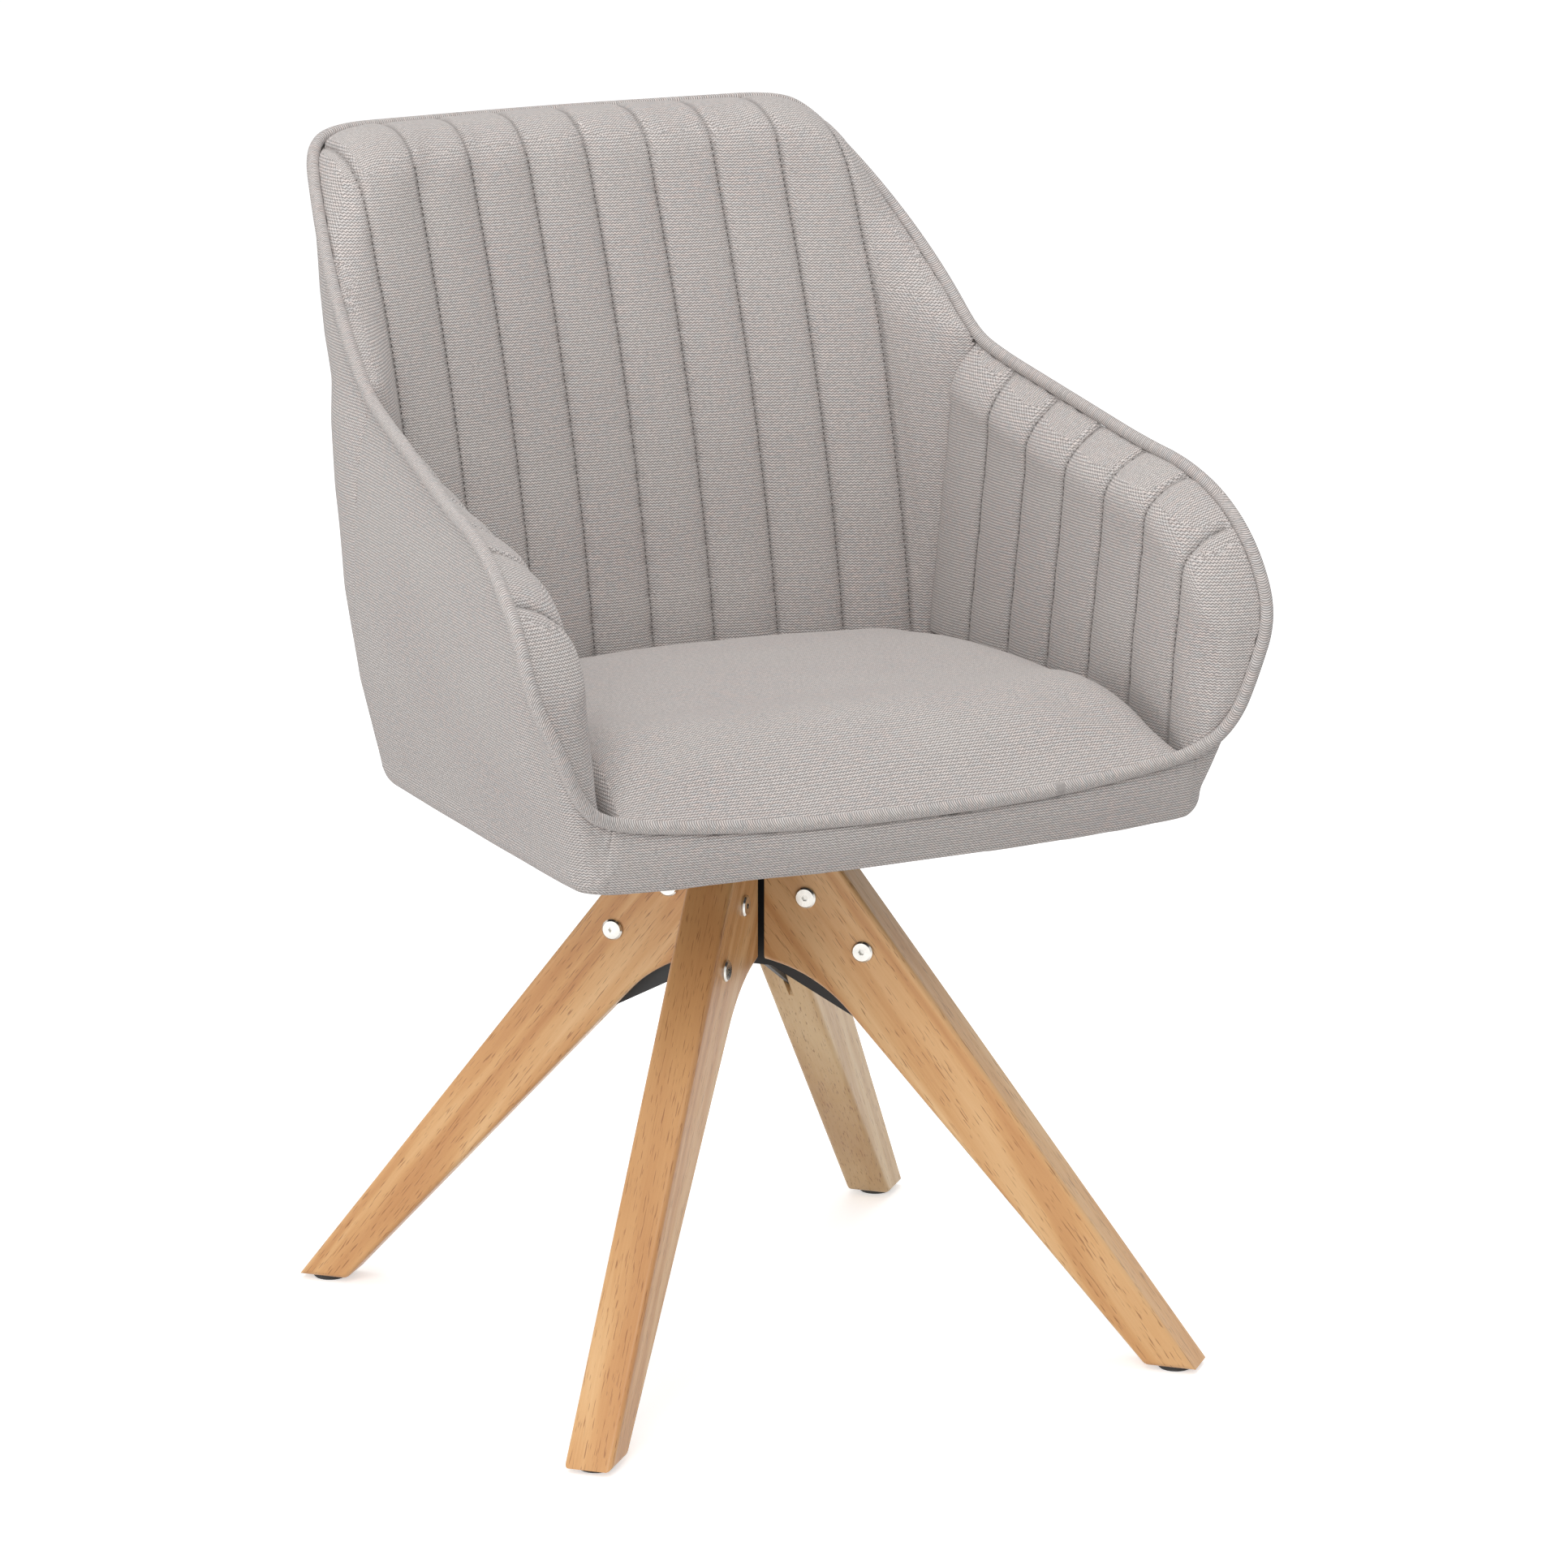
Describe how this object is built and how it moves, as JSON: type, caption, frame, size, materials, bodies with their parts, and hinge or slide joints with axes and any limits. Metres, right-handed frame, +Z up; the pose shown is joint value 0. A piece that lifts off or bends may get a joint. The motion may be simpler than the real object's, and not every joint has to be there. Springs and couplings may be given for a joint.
{
  "type": "swivel dining chair",
  "caption": "Upholstered tub chair with sewn vertical channels, piped rim and a seat that swivels on splayed wooden legs joined by a steel cross bracket.",
  "frame": {"origin": "on the floor under the middle of the chair; the swivel axis stands 33 mm in front of it", "axes": "+Z up; the sitter faces -Y; +X is the sitter's left"},
  "size_m": [0.5542, 0.5857, 0.8225],
  "materials": {
    "leg_wood": "satin",
    "powder_coat": "satin",
    "bright_steel": "polished",
    "plain_steel": "zinc plated",
    "glide_nylon": "moulded",
    "board_ply": "raw",
    "dust_cloth": "non-woven",
    "tub_cloth": "knitted"
  },
  "bodies": {
    "base": {"leg_front_right": "leg_wood", "leg_front_left": "leg_wood", "leg_rear_left": "leg_wood", "leg_rear_right": "leg_wood", "leg_bolts": "bright_steel", "leg_sleeve_nuts": "bright_steel", "foot_glides": "glide_nylon", "glide_nails": "plain_steel", "cross_bracket": "powder_coat", "swivel_lower_plate": "powder_coat", "swivel_pivot": "plain_steel", "lower_plate_screws": "plain_steel", "lower_plate_nuts": "plain_steel"},
    "ball_ring": {"ball_cage": "plain_steel", "swivel_balls": "bright_steel"},
    "seat": {"swivel_upper_plate": "powder_coat", "seat_washers": "plain_steel", "seat_screws": "plain_steel", "tee_nuts": "plain_steel", "seat_board": "board_ply", "dust_cover": "dust_cloth", "tub_frame": "powder_coat", "frame_screws": "plain_steel", "arm_pad_left": "tub_cloth", "arm_pad_right": "tub_cloth", "side_cover_left": "tub_cloth", "side_cover_right": "tub_cloth", "back_cover": "tub_cloth", "back_pad": "tub_cloth", "front_apron": "tub_cloth", "seat_cushion": "tub_cloth", "piping_cord": "tub_cloth"}
  },
  "joints": [
    {"name": "seat_swivel", "type": "hinge", "parent": "base", "child": "seat", "pos_m": [0, -0.033, 0.3685], "axis": [0, 0, 1], "continuous": true},
    {"name": "ball_roll", "type": "hinge", "parent": "base", "child": "ball_ring", "pos_m": [0, -0.033, 0.3685], "axis": [0, 0, 1], "continuous": true}
  ],
  "couplings": [
    {"joint": "ball_roll", "follows": "seat_swivel", "ratio": 0.5}
  ]
}
